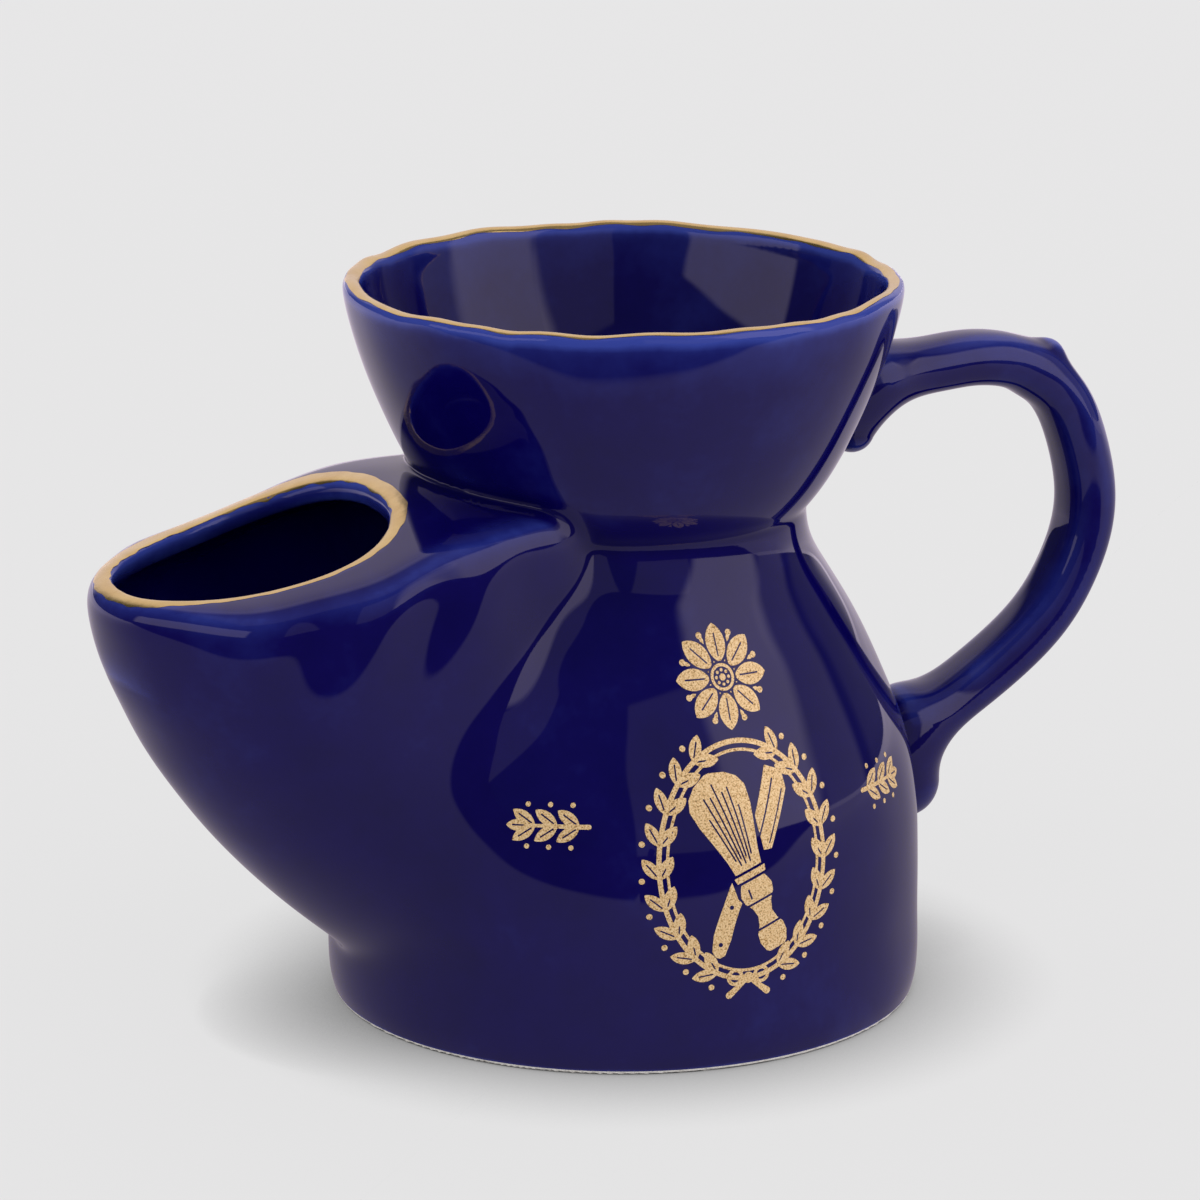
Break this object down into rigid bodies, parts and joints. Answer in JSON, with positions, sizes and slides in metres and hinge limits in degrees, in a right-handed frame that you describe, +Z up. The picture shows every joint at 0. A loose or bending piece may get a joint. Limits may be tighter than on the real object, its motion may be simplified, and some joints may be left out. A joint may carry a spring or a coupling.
{
  "type": "shaving mug",
  "caption": "Glazed porcelain shaving scuttle: hot-water tank with a side brush pouch, soap bowl with a draining floor on top, loop handle and gilt trim.",
  "frame": {"origin": "on the table, under the middle of the whole mug, which is also the axis of the turned body", "axes": "+Z up, +X towards the handle, -X towards the brush pouch, -Y towards the side with the large gilt ornament"},
  "size_m": [0.1598, 0.0868, 0.105],
  "materials": {
    "blue_glaze": "deep cobalt blue, high gloss, lighter where the glaze thins on edges",
    "bare_clay": "unglazed fired porcelain, matt off-white",
    "gilt": "fired gold lustre, satin, with a fine grain on the printed ornament"
  },
  "bodies": {
    "root": {"foot_ring": "bare_clay", "tank_floor": "blue_glaze", "tank_wall": "blue_glaze", "neck_collar": "blue_glaze", "strainer_floor": "blue_glaze", "soap_bowl": "blue_glaze", "brush_pouch": "blue_glaze", "pouch_deck": "blue_glaze", "handle_loop": "blue_glaze", "handle_upper_root": "blue_glaze", "handle_lower_root": "blue_glaze", "bowl_gilt_band": "gilt", "pouch_gilt_band": "gilt", "ornament_wreath": "gilt", "ornament_tools": "gilt", "ornament_rosette": "gilt", "sprig_left": "gilt", "sprig_right": "gilt"}
  },
  "joints": []
}
